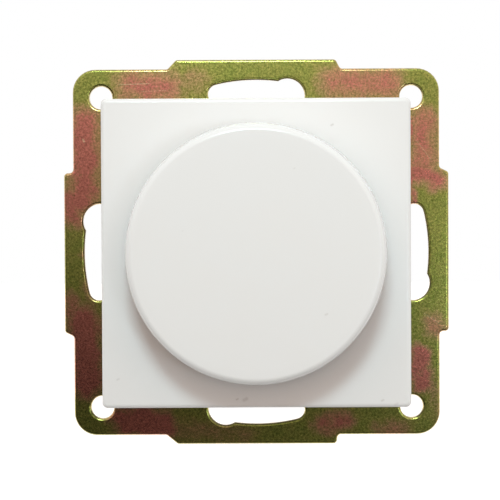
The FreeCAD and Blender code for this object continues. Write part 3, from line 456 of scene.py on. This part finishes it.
plateShape = {
    "half": 33.8, "corner": 4.2, "thickness": 1.2, "tabHalf": 14.7, "tabReach": 1.7, "tabRounding": 0.7,
    "tabFlares": [(1.6, 0.9), (0.8, 0.1), (0.2, 2.1), (0.8, 0.1)],
    "roll": 0.42, "plainRoll": 0.06, "flatStep": 0.06, "backBevel": 0.05, "rollSteps": 7,
    "holePlace": 28.6, "holeRadius": 2.1, "slotRadius": 30.0, "slotHalf": 1.8, "slotTail": 13.5,
    "headAngle": 11.4, "headRadius": 3.2, "headPlace": 29.4,
    # How many points the slot's outer arc, head, inner arc and tail have
    "slotCounts": (20, 30, 18, 14),
    "plainHoles": [(0.0, 0.0, 5.1), (15.8, 15.8, 1.55), (15.8, -15.8, 1.55), (-18.7, 1.9, 1.55),
                   (-14.6, -4.6, 1.6), (4.6, 15.0, 2.5), (-9.58, 0.0, 0.9), (9.58, 0.0, 0.9)],
    # The window's middle, width, height and corner radius
    "window": (2.5, -15.0, 21.4, 6.6, 1.0),
}


# A loop of (x, z) points turned about the middle by quarter turns, clockwise as seen from the front
def clockwise(loop, quarters):
    return loop @ np.linalg.matrix_power(np.array([[0, -1], [1, 0]]), quarters)


# The blank's outline: four round corners, and a tab with slanted ends on each side
def plateOutline(inset):
    half, tabHalf = plateShape["half"], plateShape["tabHalf"]
    tip = half + plateShape["tabReach"]
    corners, radii = [], []
    for i, (start, end) in enumerate(plateShape["tabFlares"]):
        side = np.array([(-half, half), (-tabHalf - start, half), (-tabHalf, tip), (tabHalf, tip),
                         (tabHalf + end, half)])
        corners.append(clockwise(side, i))
        radii += [plateShape["corner"]] + [plateShape["tabRounding"]] * 4
    return roundedPath(np.concatenate(corners), radii, inset)


# A round arc of (x, z) points about a centre, from one angle to another, both from +Z towards +X
def arcPoints(centre, r, start, end, count):
    t = np.linspace(start, end, count)
    return np.asarray(centre) + r * np.stack([np.sin(t), np.cos(t)], -1)


# An arc slot that opens into a round hole. Grown by a distance, each of its arcs changes radius, and the
# places where they meet are worked out again.
def keyholeLoop(quarters, grow):
    mid, halfWidth = plateShape["slotRadius"], plateShape["slotHalf"] + grow
    place, r = plateShape["headPlace"], plateShape["headRadius"] + grow
    tail, head = math.radians(plateShape["slotTail"]), math.radians(plateShape["headAngle"])
    centre = np.array([math.sin(head), math.cos(head)]) * place
    meets = []
    for edge in (mid + halfWidth, mid - halfWidth):
        angle = head - math.acos((edge ** 2 + place ** 2 - r ** 2) / (2 * edge * place))
        dx, dz = edge * math.sin(angle) - centre[0], edge * math.cos(angle) - centre[1]
        meets.append((angle, math.atan2(dx, dz)))
    (outerMeet, fromOuter), (innerMeet, fromInner) = meets
    fromInner += 2 * math.pi if fromInner < fromOuter else 0.0
    outerCount, headCount, innerCount, tailCount = plateShape["slotCounts"]
    tailCentre = mid * np.array([-math.sin(tail), math.cos(tail)])
    loop = np.concatenate([
        arcPoints((0, 0), mid + halfWidth, -tail, outerMeet, outerCount)[:-1],
        arcPoints(centre, r, fromOuter, fromInner, headCount),
        arcPoints((0, 0), mid - halfWidth, innerMeet, -tail, innerCount)[1:],
        arcPoints(tailCentre, halfWidth, -tail + math.pi, -tail + 2 * math.pi, tailCount)[1:-1],
    ])
    return clockwise(loop, quarters)


# A whole circle of (x, z) points, as an arc from 0 to a full turn without its repeated last point
def circleLoop(x, z, r, count=48):
    return arcPoints((x, z), r, 0, 2 * math.pi, count + 1)[:-1]


# The cut edges' rings run from the front flat round the edge to the back flat, and triangles fill both flats
def makePlate():
    front, flatStep, backBevel = -plateShape["thickness"], plateShape["flatStep"], plateShape["backBevel"]
    place, holeRadius = plateShape["holePlace"], plateShape["holeRadius"]
    # Each loop is a function of how far it lies inside the metal from its own cut edge
    rolled = [plateOutline]
    rolled += [lambda d, i=i: keyholeLoop(i, d) for i in range(4)]
    holes = [(x * place, z * place) for x in (-1, 1) for z in (-1, 1)]
    rolled += [lambda d, x=x, z=z: circleLoop(x, z, holeRadius + d) for x, z in holes]
    wx, wz, width, height, rounding = plateShape["window"]
    corners = [(wx - width / 2, wz - height / 2), (wx - width / 2, wz + height / 2),
               (wx + width / 2, wz + height / 2), (wx + width / 2, wz - height / 2)]
    plain = [lambda d, x=x, z=z, r=r: circleLoop(x, z, r + d) for x, z, r in plateShape["plainHoles"]]
    plain += [lambda d: roundedPath(corners, [rounding] * 4, -d)]
    edges = [(loop, plateShape["roll"]) for loop in rolled]
    edges += [(loop, plateShape["plainRoll"]) for loop in plain]
    frontRings, backRings, points, quads, start = [], [], [], [], 0
    for loopAt, edge in edges:
        rings = [(edge + flatStep, front)]
        rings += [(run, front + depth) for run, depth in quarterRound(edge, plateShape["rollSteps"])]
        rings += [(0.0, -backBevel), (backBevel, 0.0)]
        ring = [atDepth(loopAt(d), y) for d, y in rings]
        columns = len(ring[0])
        points.append(np.concatenate(ring))
        quads.append(ringQuads(len(ring), columns, closed=False) + start)
        frontRings.append(np.arange(columns) + start)
        backRings.append(np.arange(columns) + start + (len(ring) - 1) * columns)
        start += len(ring) * columns
    points = np.concatenate(points)
    outer = len(quads[0])
    quads = np.concatenate([quads[0]] + [q[:, ::-1] for q in quads[1:]])
    triangles = []
    for rings, facing in ((frontRings, -1), (backRings, 1)):
        flat = tessellate_polygon([[Vector((x, z, 0)) for x, _, z in points[ring]] for ring in rings])
        index = np.concatenate(rings)[np.array(flat)]
        a, b, c = (points[index[:, i]] for i in range(3))
        wrong = np.cross(b - a, c - a)[:, 1] * facing < 0
        index[wrong] = index[wrong][:, ::-1]
        triangles.append(index)
    triangles = np.concatenate(triangles)
    # The outline's walls must face away from the metal, as the flats do
    wall = points[quads[:outer]]
    outwards = (np.cross(wall[:, 1] - wall[:, 0], wall[:, 2] - wall[:, 0]) * wall.mean(1)).sum()
    if outwards < 0:
        quads = quads[:, ::-1]
    surfaces = [(points, quads, triangles)]
    piece = finishMesh("plateBlank", surfaces, chromateMaterial, "insert", sharp=40)
    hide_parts("support_plate")


# Chromate: olive film with rose and maroon stains, placed by (x0, z0, x1, z1, radius, strength)
chromate = {
    "tones": [(0.0, (0.262, 0.292, 0.06)), (0.25, (0.345, 0.318, 0.078)), (0.5, (0.42, 0.29, 0.115)),
              (0.75, (0.53, 0.262, 0.14)), (1.0, (0.57, 0.19, 0.14))],
    "stains": [
        (-23.0, 30.7, -16.4, 30.3, 5.8, 0.8), (-16.4, 30.7, -10.4, 31.8, 4.6, 0.36),
        (14.7, 31.1, 24.3, 31.1, 5.8, 0.78), (-31.7, 23.7, -32.1, 9.6, 5.6, 1.02),
        (-34.1, 10.4, -33.7, 6.8, 4.2, 0.9), (31.0, 24.0, 30.8, 17.0, 5.0, 0.82),
        (-31.9, -12.9, -31.5, -23.7, 5.4, 1.15), (-34.5, -8.9, -33.4, -12.2, 3.6, 0.7),
        (-23.8, -31.1, -17.8, -31.8, 5.0, 1.25), (-16.4, -32.5, -3.0, -34.0, 4.4, 0.36),
        (30.0, -18.9, 30.4, -24.8, 3.2, 1.15), (32.4, -12.6, 33.9, -14.8, 3.4, 0.62),
        (29.7, 14.8, 33.5, 13.3, 3.6, 1.0), (22.5, -32.9, 26.9, -33.1, 3.0, 0.6),
        (12.1, -31.8, 16.5, -31.1, 3.4, 0.85), (28.6, 25.9, 28.6, 8.7, 1.6, 0.9),
        (-31.1, 0.4, -31.1, -8.1, 2.0, 0.55), (32.4, -26.4, 33.9, -30.1, 3.0, 0.4),
    ],
    "stainDepth": -0.6, "wander": 3.2, "wanderScale": 0.35, "mottle": 0.64, "mottleScale": 0.5,
    "toneShift": 0.12, "grit": 0.7, "grainScale": 2.6, "grainAmount": 2.1,
    "roughness": 0.2, "roughSwing": 0.1, "bump": 0.35, "bumpDepth": 0.02,
    # Scratches through the film, placed as the stains are, and the bare look of the rolled edge
    "scratches": [(-25.2, 31.0, -19.6, 31.15, 0.15, 0.4), (-31.9, 20.9, -31.7, 20.5, 0.3, 0.45),
                  (29.6, 20.4, 32.2, 17.0, 0.14, 0.25), (-21.0, 29.7, -16.5, 29.9, 0.12, 0.2),
                  (31.0, -11.5, 33.6, -13.2, 0.16, 0.25)],
    "bare": (0.86, 0.70, 0.42), "bareEdge": (-1.19, -0.95), "bareShare": 0.6, "scratchDepth": -1.2,
}


# Rows of (x0, z0, x1, z1, radius, strength) as stains at one depth
def stainRows(rows, depth):
    return [((x0, depth, z0), (x1, depth, z1), radius, strength) for x0, z0, x1, z1, radius, strength in rows]


def makeChromate(tones, stains, stainDepth, wander, wanderScale, mottle, mottleScale, toneShift, grit,
                 grainScale, grainAmount, roughness, roughSwing, bump, bumpDepth, scratches, scratchDepth,
                 bare, bareEdge, bareShare):
    material, tree, shader, place = startMaterial("chromateOnSteel", Metallic=1.0)
    warp = addNode(tree, "ShaderNodeTexNoise", {"Vector": place, "Scale": wanderScale, "Detail": 3.0})
    warp = vectorCalc(tree, "SUBTRACT", warp.outputs["Color"], (0.5, 0.5, 0.5))
    wandered = vectorCalc(tree, "ADD", place, scaled(tree, warp, wander))
    rose = strongestStain(tree, wandered, stainRows(stains, stainDepth))
    blotches = calc(tree, "SUBTRACT", noise(tree, place, mottleScale, detail=6.0, roughness=0.72), 0.5)
    rose = calc(tree, "MULTIPLY_ADD", blotches, mottle, calc(tree, "ADD", rose, toneShift))
    speck = useGroup(tree, grain, Place=place, Scale=grainScale, Amount=grainAmount)
    rose = calc(tree, "MULTIPLY_ADD", calc(tree, "SUBTRACT", speck["Height"], 0.5), grit, rose)
    colour = colourRamp(tree, rose, tones)
    depth = addNode(tree, "ShaderNodeSeparateXYZ", {0: place}).outputs[1]
    worn = calc(tree, "MULTIPLY", fade(tree, depth, *bareEdge), bareShare)
    worn = strongestStain(tree, place, stainRows(scratches, scratchDepth), worn)
    colour = blendColour(tree, worn, colour, bare)
    colour = blendColour(tree, 1.0, colour, speck["Factor"], "MULTIPLY")
    tree.links.new(colour, shader.inputs["Base Color"])
    setRoughness(tree, shader, speck["Height"], roughness, roughSwing)
    setBump(tree, shader, speck["Height"], bump, bumpDepth)
    return material


chromateMaterial = makeChromate(**chromate)
makePlate()
print("support plate made")


# Materials of the CAD nodes

# Moulded and painted parts: colour, a second colour in soft clouds, roughness, size and strength of the grain
mouldings = {
    "grey_case": ((0.052, 0.055, 0.059), (0.07, 0.072, 0.075), 0.48, 3.4, 0.55),
    "black_plastic": ((0.018, 0.018, 0.02), (0.028, 0.027, 0.027), 0.4, 2.6, 0.3),
    "blue_plastic": ((0.03, 0.10, 0.42), (0.045, 0.13, 0.47), 0.32, 2.0, 0.2),
    "film_box": ((0.58, 0.33, 0.045), (0.50, 0.27, 0.035), 0.3, 1.4, 0.25),
    "resistor_body": ((0.50, 0.37, 0.20), (0.42, 0.29, 0.15), 0.3, 3.0, 0.35),
    "iron_powder": ((0.66, 0.55, 0.07), (0.58, 0.46, 0.06), 0.55, 3.6, 0.8),
    "insulating_pad": ((0.50, 0.52, 0.50), (0.44, 0.46, 0.45), 0.62, 4.0, 0.5),
}

# Metals: bright colour, tarnished colour, roughness, and the strength of the fine drawn marks
metals = {
    "zinc_steel": ((0.66, 0.67, 0.68), (0.60, 0.58, 0.50), 0.3, 0.35),
    "spring_steel": ((0.46, 0.46, 0.45), (0.34, 0.32, 0.30), 0.28, 0.5),
    "bush_brass": ((0.76, 0.60, 0.32), (0.60, 0.44, 0.22), 0.26, 0.45),
    "contact_brass": ((0.78, 0.58, 0.29), (0.58, 0.40, 0.19), 0.3, 0.3),
    "shaft_steel": ((0.62, 0.61, 0.59), (0.52, 0.49, 0.44), 0.25, 0.6),
}


def makeMoulded(name, colour, second, roughness, grainScale, grainStrength):
    material, tree, shader, place = startMaterial(name, IOR=1.5)
    speck = useGroup(tree, grain, Place=place, Scale=grainScale, Amount=grainStrength)
    clouded = blendColour(tree, noise(tree, place, scale=0.18, detail=3.0), colour, second)
    tree.links.new(blendColour(tree, 1.0, clouded, speck["Factor"], "MULTIPLY"), shader.inputs["Base Color"])
    setRoughness(tree, shader, speck["Height"], roughness, swing=0.2)
    setBump(tree, shader, speck["Height"], strength=0.25 + grainStrength / 2, depth=0.03)
    return material


# Marks drawn out along the Y axis, with clouds of tarnish between them
def makeDrawnMetal(name, bright, tarnished, roughness, marks):
    material, tree, shader, place = startMaterial(name, Metallic=1.0)
    stretched = vectorCalc(tree, "MULTIPLY", place, (4.0, 0.35, 4.0))
    drawn = noise(tree, stretched, scale=1.0, detail=4.0, roughness=0.7)
    cloud = fade(tree, noise(tree, place, scale=0.4, detail=4.0, roughness=0.6), low=0.35, high=0.75)
    colour = blendColour(tree, cloud, bright, tarnished)
    shade = calc(tree, "MULTIPLY_ADD", calc(tree, "SUBTRACT", drawn, 0.5), marks, 1.0)
    tree.links.new(blendColour(tree, 1.0, colour, shade, "MULTIPLY"), shader.inputs["Base Color"])
    # Marks and tarnish both roughen the surface, from a polish a tenth smoother than the mean
    swing, polish = 0.12, roughness - 0.1
    rough = calc(tree, "MULTIPLY_ADD", calc(tree, "ADD", drawn, cloud), swing, polish)
    tree.links.new(rough, shader.inputs["Roughness"])
    setBump(tree, shader, drawn, strength=marks, depth=0.015)
    return material


# Red-brown enamel over the choke's copper wire
def makeEnamelledWire():
    surface = {"Metallic": 1.0, "Roughness": 0.25, "Coat_Weight": 0.7}
    material, tree, shader, place = startMaterial("enamelledCopper", **surface)
    cloud = noise(tree, place, scale=0.9, detail=3.0)
    colour = blendColour(tree, cloud, (0.68, 0.24, 0.10), (0.50, 0.14, 0.06))
    tree.links.new(colour, shader.inputs["Base Color"])
    return material


# Laminate: the weave of its glass cloth or the fibre of its paper shows through the surface
def makeLaminate(name, colour, second, stretch, roughness):
    material, tree, shader, place = startMaterial(name, IOR=1.5)
    along = noise(tree, vectorCalc(tree, "MULTIPLY", place, (stretch, 1.0, 1.0)), scale=1.6, detail=3.0)
    across = noise(tree, vectorCalc(tree, "MULTIPLY", place, (1.0, 1.0, stretch)), scale=1.6, detail=3.0)
    weave = calc(tree, "MULTIPLY", calc(tree, "ADD", along, across), 0.5)
    share = fade(tree, weave, low=0.35, high=0.65)
    tree.links.new(blendColour(tree, share, colour, second), shader.inputs["Base Color"])
    setRoughness(tree, shader, weave, roughness, swing=0.2)
    setBump(tree, shader, weave, strength=0.3, depth=0.03)
    return material


def makeGlass():
    material, tree, shader, place = startMaterial("clearGlass", IOR=1.5, Transmission_Weight=1.0)
    streak = noise(tree, vectorCalc(tree, "MULTIPLY", place, (0.3, 2.0, 2.0)), scale=1.0)
    colour = blendColour(tree, streak, (0.95, 0.97, 0.96), (0.9, 0.94, 0.93))
    tree.links.new(colour, shader.inputs["Base Color"])
    swing, smoothest = 0.04, 0.01
    tree.links.new(calc(tree, "MULTIPLY_ADD", streak, swing, smoothest), shader.inputs["Roughness"])
    return material


bySlot = {name: makeMoulded(name, *values) for name, values in mouldings.items()}
bySlot.update({name: makeDrawnMetal(name, *values) for name, values in metals.items()})
bySlot["copper_wire"] = makeEnamelledWire()
bySlot["board"] = makeLaminate("board", (0.05, 0.115, 0.03), (0.075, 0.15, 0.045),
                               stretch=6.0, roughness=0.4)
bySlot["phenolic"] = makeLaminate("phenolic", (0.15, 0.07, 0.03), (0.22, 0.11, 0.05),
                                  stretch=3.0, roughness=0.45)
bySlot["glass"] = makeGlass()
bySlot["chromated_steel"] = chromateMaterial
bySlot["white_gloss"] = glossMaterial
for row in frame["record"]["subparts"]:
    for slot in frame["nodes"][row["node"]].material_slots:
        slot.material = bySlot[row["material_slot"]]
print("materials assigned")


# Switch return spring: a wire of round section along a helix. In the switch its front end moves with the push
# slider and its rear end stays, so it closes up when the knob is pushed; this mesh rides on no body and keeps
# its shape.

returnSpring = {"wire": 0.18, "coil": 2.2, "turns": 3.0, "stepsPerTurn": 40, "sides": 10}


def makeSpring(wire, coil, turns, stepsPerTurn, sides):
    low, high = (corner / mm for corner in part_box("switch_spring"))
    t = np.linspace(0, 2 * np.pi * turns, int(turns * stepsPerTurn) + 1)[:, None]
    around = np.linspace(0, 2 * np.pi, sides, endpoint=False)
    r, y = coil + wire * np.cos(around), np.linspace(low.y + wire, high.y - wire, len(t))[:, None]
    points = np.stack([r * np.cos(t), y + wire * np.sin(around) + 0 * t, r * np.sin(t)], -1).reshape(-1, 3)
    first, last = np.arange(sides), np.arange(sides) + len(points) - sides
    ends = np.stack([points[first].mean(0), points[last].mean(0)])
    triangles = np.concatenate([
        np.stack([np.full(sides, len(points)), np.roll(first, -1), first], -1),
        np.stack([np.full(sides, len(points) + 1), last, np.roll(last, -1)], -1)])
    surface = (np.concatenate([points, ends]), ringQuads(len(t), sides, closed=False), triangles)
    piece = finishMesh("returnSpring", [surface], bySlot["spring_steel"], None, sharp=60)
    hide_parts("switch_spring")
    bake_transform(piece)


makeSpring(**returnSpring)
print("return spring made")


# Camera: distance in metres, angles in degrees, focal length, centre and picture side in pixels, and the
# sensor in millimetres

cameraSetup = {"distance": 0.28, "elevation": 1.0, "azimuth": 0.3, "focal": 1510.0, "roll": -0.26,
               "centre": (256.5, 252.0), "pictureSide": 500.0, "sensor": 36.0}


def makeCamera(distance, elevation, azimuth, focal, roll, centre, pictureSide, sensor):
    data = bpy.data.cameras.new("camera")
    data.sensor_width = sensor
    data.lens = focal / pictureSide * sensor
    data.shift_x = (pictureSide / 2 - centre[0]) / pictureSide
    data.shift_y = (centre[1] - pictureSide / 2) / pictureSide
    camera = bpy.data.objects.new("camera", data)
    a, e = math.radians(azimuth), math.radians(elevation)
    back = Vector((math.sin(a) * math.cos(e), -math.cos(a) * math.cos(e), math.sin(e)))
    turned = (-back).to_track_quat("-Z", "Y").to_matrix().to_4x4()
    camera.matrix_world = (Matrix.Translation(back * distance) @ turned
                           @ Matrix.Rotation(math.radians(roll), 4, "Z"))
    scene.collection.objects.link(camera)
    scene.camera = camera


makeCamera(**cameraSetup)


# Floor, dark flags and light: places and sizes in metres, power in watts

studio = {
    "floorHeight": -0.12, "floorReach": 3.0, "floorFront": -0.3,
    "floorColour": (0.82, 0.82, 0.82), "floorGlow": 0.5,
    "flags": {
        "flagFront": [(1.2, -0.7, -0.6), (-1.2, -0.7, -0.6), (-1.2, -0.7, 0.13), (1.2, -0.7, 0.13)],
        "flagBelow": [(-0.5, -0.7, -0.11), (0.5, -0.7, -0.11), (0.5, -0.02, -0.11), (-0.5, -0.02, -0.11)],
    },
    "flagLooks": {"dark": (0.03, 0.026, 0.024), "pale": (1.0, 0.95, 0.89), "fadeHeights": (-0.142, 0.07),
                  "lean": 0.17},
    "keyLamp": {"place": (-0.012, -0.36, 0.19), "size": (0.085, 0.07), "power": 0.64,
                "colour": (0.7, 0.94, 1.0)},
    "sideLamp": {"place": (0.18, -0.5, -0.03), "size": (0.06, 0.06), "power": 0.16,
                 "colour": (0.68, 0.88, 1.0)},
    "room": [(0.0, (0.07, 0.07, 0.07)), (0.38, (0.13, 0.13, 0.13)), (0.46, (0.9, 0.9, 0.9)),
             (0.56, (0.89, 0.89, 0.89)), (0.75, (0.72, 0.72, 0.72))],
    "frontTint": (1.26, 0.95, 0.79), "tintSpread": (0.2, 0.8),
}


def stageSheet(name, corners, material):
    mesh = bpy.data.meshes.new(name)
    mesh.from_pydata(corners, [], [(0, 1, 2, 3)])
    mesh.materials.append(material)
    sheet = bpy.data.objects.new(name, mesh)
    scene.collection.objects.link(sheet)
    return sheet


# A mask of the rays that show the background itself: the camera's, mirrored ones and those through glass
def backgroundRays(tree):
    rays = addNode(tree, "ShaderNodeLightPath").outputs
    seen = calc(tree, "MAXIMUM", rays["Is Camera Ray"], rays["Is Glossy Ray"])
    return calc(tree, "MAXIMUM", seen, rays["Is Transmission Ray"])


# A matt sheet. Glow adds plain light for the background's rays alone, so the shadow on it stays.
def makeSheetMaterial(name, colour, glow):
    material, tree, shader, place = startMaterial(name, Roughness=0.9)
    faint = useGroup(tree, grain, Place=place, Scale=0.02, Amount=0.03)
    tree.links.new(blendColour(tree, 1.0, colour, faint["Factor"], "MULTIPLY"), shader.inputs["Base Color"])
    strength = calc(tree, "MULTIPLY", backgroundRays(tree), glow)
    light = addNode(tree, "ShaderNodeEmission", {"Color": (1, 1, 1, 1), "Strength": strength})
    both = addNode(tree, "ShaderNodeAddShader", {0: shader.outputs[0], 1: light.outputs[0]})
    tree.links.new(both.outputs[0], tree.nodes["Material Output"].inputs["Surface"])
    return material


# A board that is dark at its foot and fades to pale at its top, for metal to reflect. It is clear from
# behind, so that the floor under it keeps its light.
def makeFlagMaterial(dark, pale, fadeHeights, lean):
    material, tree, shader, place = startMaterial("fadedFlag", Roughness=0.9)
    axes = addNode(tree, "ShaderNodeSeparateXYZ", {0: place}).outputs
    height = calc(tree, "MULTIPLY_ADD", axes[0], lean, axes[2])
    share = fade(tree, height, *(level / mm for level in fadeHeights))
    tree.links.new(blendColour(tree, share, dark, pale), shader.inputs["Base Color"])
    behind = addNode(tree, "ShaderNodeNewGeometry").outputs["Backfacing"]
    clear = addNode(tree, "ShaderNodeBsdfTransparent")
    either = addNode(tree, "ShaderNodeMixShader", {0: behind, 1: shader.outputs[0], 2: clear.outputs[0]})
    tree.links.new(either.outputs[0], tree.nodes["Material Output"].inputs["Surface"])
    return material


def makeLamp(name, place, size, power, colour):
    data = bpy.data.lights.new(name, "AREA")
    data.shape = "RECTANGLE"
    data.size, data.size_y = size
    data.energy = power
    data.color = colour
    lamp = bpy.data.objects.new(name, data)
    lamp.location = place
    lamp.rotation_euler = (-Vector(place)).to_track_quat("-Z", "Y").to_euler()
    lamp.visible_camera = False
    scene.collection.objects.link(lamp)


# The world is white for the background's rays. The rest get a soft room, dark underfoot, by height from
# straight down, 0, to straight up, 1. Its light is warm from the front and plain from everywhere else.
def makeWorld(stops, tint, tintSpread):
    world = bpy.data.worlds.new("studio")
    scene.world = world
    world.use_nodes = True
    tree = world.node_tree
    direction = addNode(tree, "ShaderNodeTexCoord").outputs["Generated"]
    axes = addNode(tree, "ShaderNodeSeparateXYZ", {0: direction}).outputs
    room = colourRamp(tree, calc(tree, "MULTIPLY_ADD", axes[2], 0.5, 0.5), stops)
    inFront = fade(tree, calc(tree, "MULTIPLY", axes[1], -1.0), *tintSpread)
    room = blendColour(tree, inFront, room, vectorCalc(tree, "MULTIPLY", room, tint))
    colour = blendColour(tree, backgroundRays(tree), room, (1.0, 1.0, 1.0))
    tree.links.new(colour, tree.nodes["Background"].inputs["Color"])


def makeStudio():
    z, reach, front = studio["floorHeight"], studio["floorReach"], studio["floorFront"]
    floorMaterial = makeSheetMaterial("paleFloor", studio["floorColour"], studio["floorGlow"])
    stageSheet("floor", [(-reach, front, z), (reach, front, z), (reach, reach, z), (-reach, reach, z)],
               floorMaterial)
    # The floor behind the camera is there for views from the back, and lights nothing
    rest = stageSheet("floorInFront", [(-reach, -reach, z), (reach, -reach, z), (reach, front, z),
                                       (-reach, front, z)], floorMaterial)
    rest.visible_diffuse = rest.visible_glossy = False
    flagMaterial = makeFlagMaterial(**studio["flagLooks"])
    for name, corners in studio["flags"].items():
        flag = stageSheet(name, corners, flagMaterial)
        flag.visible_camera = False
        flag.visible_shadow = False
        flag.visible_diffuse = name == "flagBelow"
    makeLamp("keyLamp", **studio["keyLamp"])
    makeLamp("sideLamp", **studio["sideLamp"])
    makeWorld(studio["room"], studio["frontTint"], studio["tintSpread"])


makeStudio()
scene.view_settings.view_transform = "Standard"
print("camera and light set")
